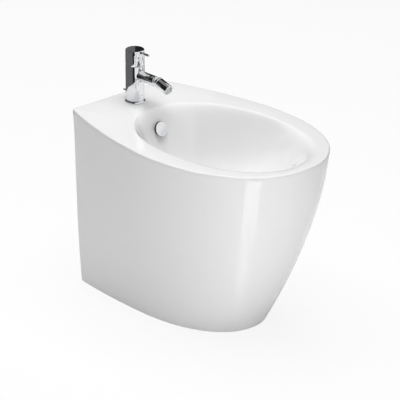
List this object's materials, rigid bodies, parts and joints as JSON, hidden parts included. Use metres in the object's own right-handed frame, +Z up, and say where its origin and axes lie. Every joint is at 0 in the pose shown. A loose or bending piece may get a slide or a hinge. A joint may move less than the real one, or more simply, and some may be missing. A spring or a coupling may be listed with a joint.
{
  "type": "floor standing bidet",
  "caption": "Back-to-wall floor standing bidet in white china: flared shell, oval bowl, single-lever mixer with ball-jointed nozzle, overflow and rod-worked pop-up waste.",
  "frame": {"origin": "on the floor, midway between the sides and between the wall face and the nose", "axes": "+Z up, +Y towards the wall behind, -Y towards the nose, +X to the left of a person who stands at the nose and faces the wall"},
  "size_m": [0.3792, 0.5699, 0.5167],
  "materials": {
    "china": "white vitreous china under a clear, smooth glaze",
    "chrome": "polished chrome plate",
    "rubber": "matt black rubber",
    "brass": "turned brass",
    "white_plastic": "satin moulded plastic",
    "steel": "plain bright steel",
    "aerator_mesh": "fine stainless wire mesh"
  },
  "bodies": {
    "main": {"ceramic_body": "china", "overflow_ring": "chrome", "overflow_seal": "rubber", "overflow_cap": "chrome", "base_ring": "chrome", "base_gasket": "rubber", "mixer_body": "chrome", "spout_tube": "chrome", "cartridge": "white_plastic", "cartridge_nut": "brass", "cartridge_dome": "chrome", "mounting_stud": "brass", "clamp_gasket": "rubber", "clamp_plate": "steel", "stud_nut": "brass", "ball_seat_inner": "white_plastic", "ball_seat_outer": "white_plastic", "ball_nut": "chrome", "waste_flange": "chrome", "flange_seal": "rubber", "waste_body": "chrome", "body_seal": "rubber", "lock_washer": "white_plastic", "lock_nut": "brass", "tailpiece": "chrome", "tail_gasket": "rubber"},
    "handle_carrier": {"stem_carrier": "white_plastic", "stem_pin": "steel"},
    "handle": {"cartridge_stem": "steel", "handle_cap": "chrome", "lever_pin": "chrome", "grub_screw": "steel"},
    "nozzle_ball": {"ball_adaptor": "chrome"},
    "nozzle": {"lock_ring": "chrome", "ball_seal": "rubber", "nozzle_housing": "chrome", "aerator_washer": "rubber", "aerator_insert": "aerator_mesh"},
    "pull_rod": {"lift_rod": "chrome", "pull_pin": "chrome", "link_block": "brass", "link_screw": "chrome"},
    "pivot": {"pivot_rod": "chrome"},
    "plug": {"waste_plug": "chrome", "plug_seal": "rubber"}
  },
  "joints": [
    {"name": "handle_turn", "type": "hinge", "parent": "main", "child": "handle_carrier", "pos_m": [0, 0.228, 0.48], "axis": [0, 0, 1], "range_deg": [-50, 50]},
    {"name": "handle_lift", "type": "hinge", "parent": "handle_carrier", "child": "handle", "pos_m": [0, 0.228, 0.48235], "axis": [-1, 0, 0], "range_deg": [0, 18]},
    {"name": "nozzle_turn", "type": "hinge", "parent": "main", "child": "nozzle_ball", "pos_m": [0, 0.15, 0.462], "axis": [0, -1, 0], "range_deg": [-90, 90]},
    {"name": "nozzle_rock", "type": "hinge", "parent": "nozzle_ball", "child": "nozzle", "pos_m": [0, 0.15, 0.462], "axis": [-1, 0, 0], "range_deg": [-2, 38]},
    {"name": "pull_slide", "type": "slide", "parent": "main", "child": "pull_rod", "axis": [0, 0, 1], "range_m": [0, 0.0315]},
    {"name": "pivot_rock", "type": "hinge", "parent": "main", "child": "pivot", "pos_m": [0, 0.081, 0.168], "axis": [1, 0, 0], "range_deg": [0, 11.15]},
    {"name": "plug_slide", "type": "slide", "parent": "main", "child": "plug", "axis": [0, 0, -1], "range_m": [0, 0.00702]}
  ],
  "couplings": [
    {"joint": "pivot_rock", "follows": "pull_slide", "rad_per_m": 6.1684},
    {"joint": "plug_slide", "follows": "pull_slide", "ratio": 0.22277}
  ]
}
